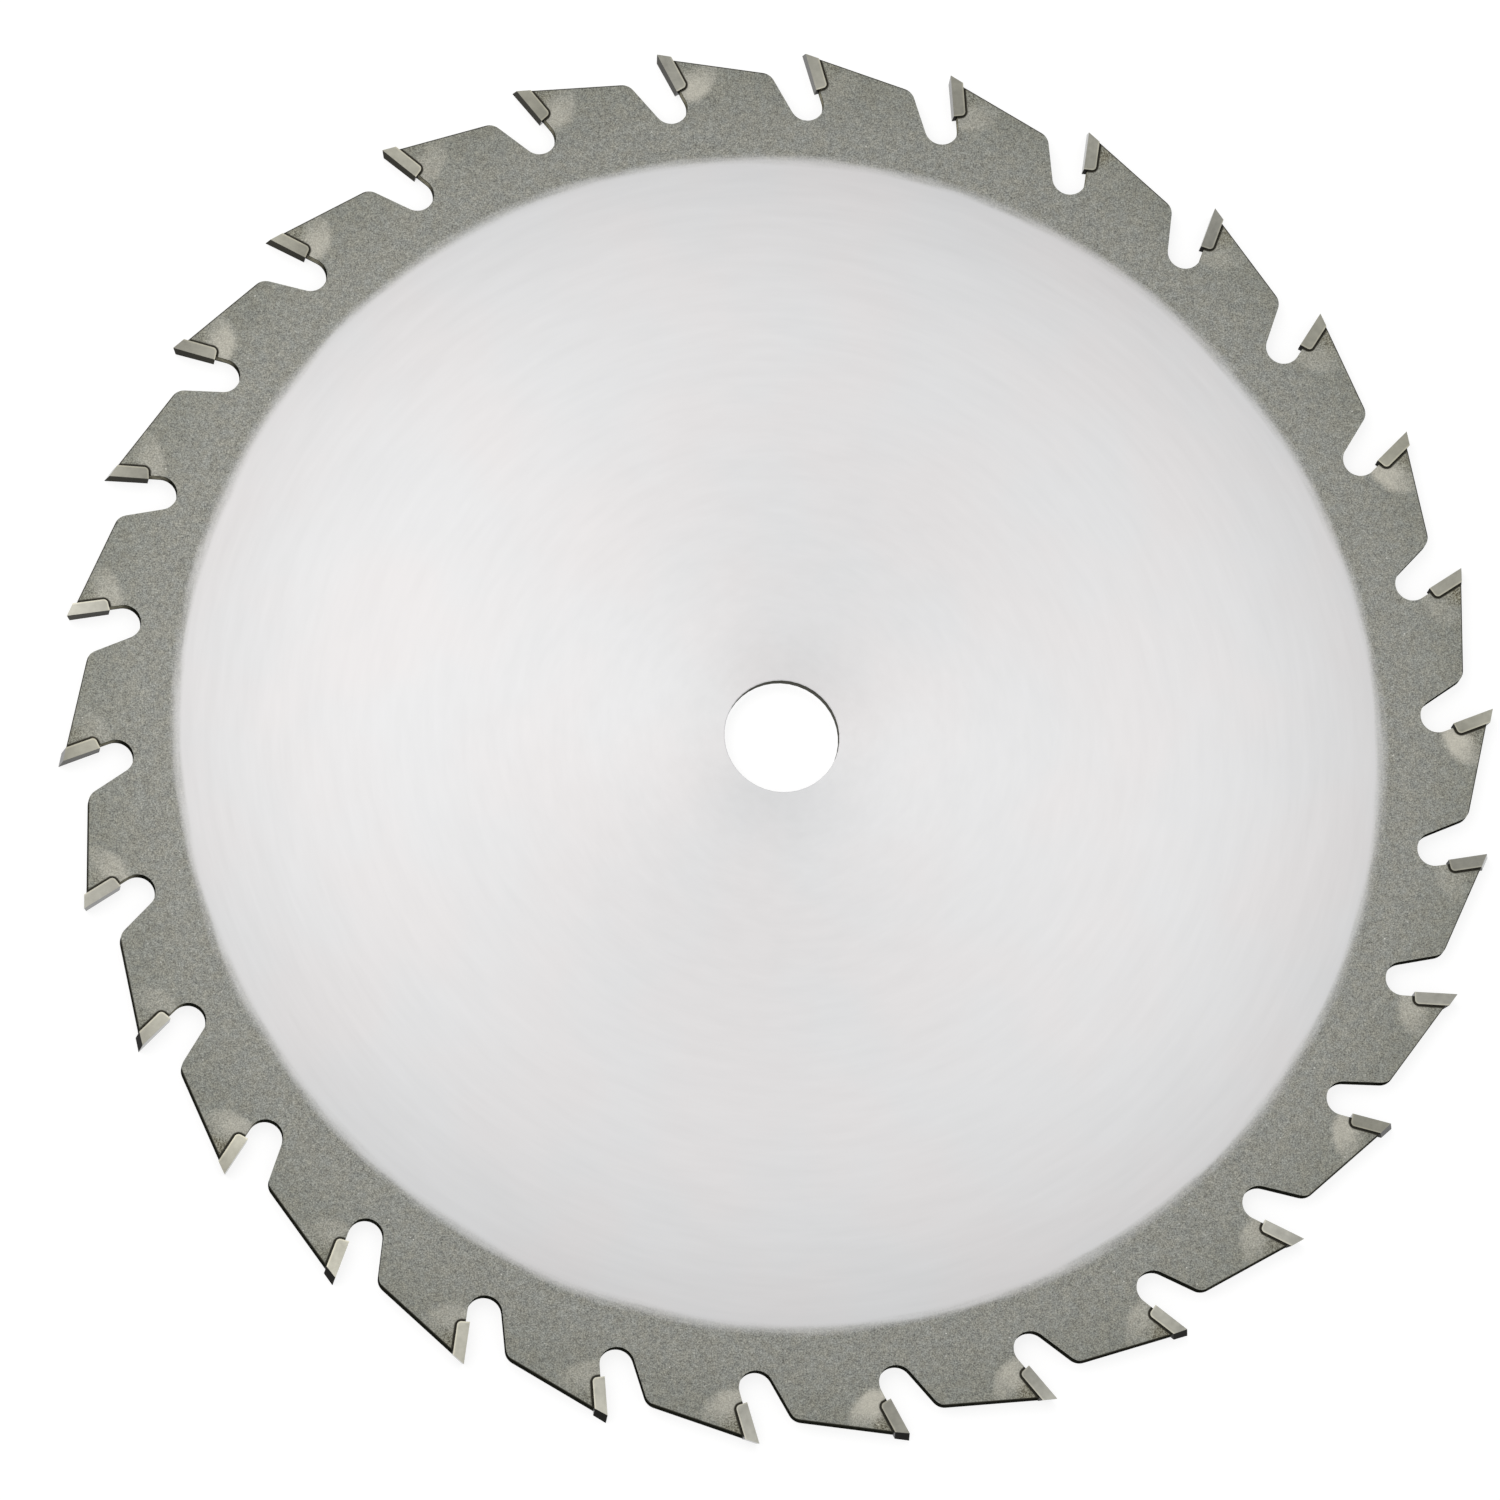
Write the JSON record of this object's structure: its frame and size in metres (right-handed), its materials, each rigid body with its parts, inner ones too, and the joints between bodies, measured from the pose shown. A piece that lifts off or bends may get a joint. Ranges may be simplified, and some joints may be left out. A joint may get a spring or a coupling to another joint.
{
  "type": "circular saw blade",
  "caption": "Flat steel circular saw blade with a plain central bore and hooked teeth round its rim, each with a brazed carbide tip ground to alternate top bevels.",
  "frame": {"origin": "centre of the bore, halfway through the plate", "axes": "+Z along the blade's axis, out of its front face; +X through the cutting point of the first tip; seen from +Z the teeth cut anticlockwise"},
  "size_m": [0.25, 0.2486, 0.0032],
  "materials": {
    "plate_steel": "finely brushed at the centre, blasted grey round the rim",
    "carbide": "ground, satin",
    "braze": "dull and darkened by the heat"
  },
  "bodies": {
    "root": {"blade_plate": "plate_steel", "carbide_tip_01": "carbide", "carbide_tip_02": "carbide", "carbide_tip_03": "carbide", "carbide_tip_04": "carbide", "carbide_tip_05": "carbide", "carbide_tip_06": "carbide", "carbide_tip_07": "carbide", "carbide_tip_08": "carbide", "carbide_tip_09": "carbide", "carbide_tip_10": "carbide", "carbide_tip_11": "carbide", "carbide_tip_12": "carbide", "carbide_tip_13": "carbide", "carbide_tip_14": "carbide", "carbide_tip_15": "carbide", "carbide_tip_16": "carbide", "carbide_tip_17": "carbide", "carbide_tip_18": "carbide", "carbide_tip_19": "carbide", "carbide_tip_20": "carbide", "carbide_tip_21": "carbide", "carbide_tip_22": "carbide", "carbide_tip_23": "carbide", "carbide_tip_24": "carbide", "carbide_tip_25": "carbide", "carbide_tip_26": "carbide", "carbide_tip_27": "carbide", "carbide_tip_28": "carbide", "carbide_tip_29": "carbide", "carbide_tip_30": "carbide", "braze_seams": "braze"}
  },
  "joints": []
}
